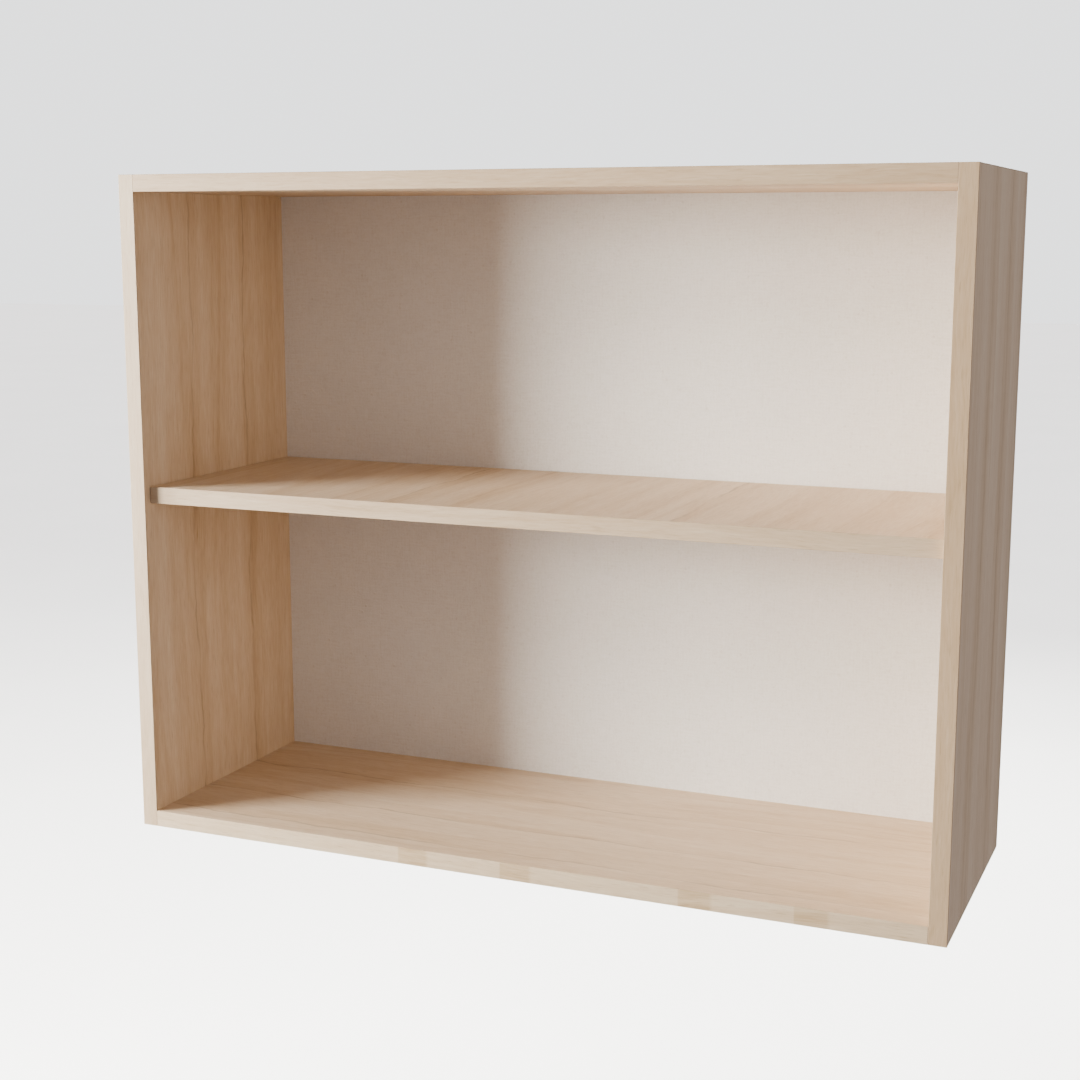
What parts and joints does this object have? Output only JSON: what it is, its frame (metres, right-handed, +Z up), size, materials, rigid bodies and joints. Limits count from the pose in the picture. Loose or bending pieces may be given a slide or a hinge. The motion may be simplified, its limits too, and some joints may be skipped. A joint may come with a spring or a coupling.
{
  "type": "hanging wall cabinet",
  "caption": "Open wall cabinet in pale wood: a board carcass joined by cams and dowels, with a loose shelf on pins, a thin white back panel and keyhole hangers.",
  "frame": {"origin": "centre of the rear face, which lies on the wall", "axes": "+X along the wall to the right as seen from the front, +Y into the wall (the open front faces -Y), +Z up"},
  "size_m": [0.9, 0.303, 0.72],
  "materials": {
    "board": "satin, pale grain",
    "edge_band": "satin, paler fine grain",
    "back_board": "matt off-white, fine texture",
    "plated_steel": "zinc plated",
    "cast_zinc": "die cast",
    "nickel": "nickel plated",
    "dowel_wood": "raw beech",
    "cap_plastic": "matt"
  },
  "bodies": {
    "carcass": {"left_side": "board", "right_side": "board", "top_panel": "board", "bottom_panel": "board", "back_panel": "back_board", "left_side_front_band": "edge_band", "right_side_front_band": "edge_band", "top_panel_front_band": "edge_band", "bottom_panel_front_band": "edge_band", "left_side_end_bands": "edge_band", "right_side_end_bands": "edge_band", "back_panel_nails": "plated_steel", "cams_top_left": "cast_zinc", "cams_top_right": "cast_zinc", "cams_bottom_left": "cast_zinc", "cams_bottom_right": "cast_zinc", "cam_bolts_top_left": "plated_steel", "cam_bolts_top_right": "plated_steel", "cam_bolts_bottom_left": "plated_steel", "cam_bolts_bottom_right": "plated_steel", "dowels_top_left": "dowel_wood", "dowels_top_right": "dowel_wood", "dowels_bottom_left": "dowel_wood", "dowels_bottom_right": "dowel_wood", "cam_caps_top_left": "cap_plastic", "cam_caps_top_right": "cap_plastic", "cam_caps_bottom_left": "cap_plastic", "cam_caps_bottom_right": "cap_plastic", "shelf_pin_front_left": "nickel", "shelf_pin_front_right": "nickel", "shelf_pin_rear_left": "nickel", "shelf_pin_rear_right": "nickel", "hanger_plate_left": "plated_steel", "hanger_plate_right": "plated_steel", "hanger_screws_left": "plated_steel", "hanger_screws_right": "plated_steel"},
    "loose_shelf": {"shelf": "board", "shelf_front_band": "edge_band"}
  },
  "joints": [
    {"name": "shelf_slide", "type": "slide", "parent": "carcass", "child": "loose_shelf", "axis": [0, -1, 0], "range_m": [0, 0.29]}
  ]
}
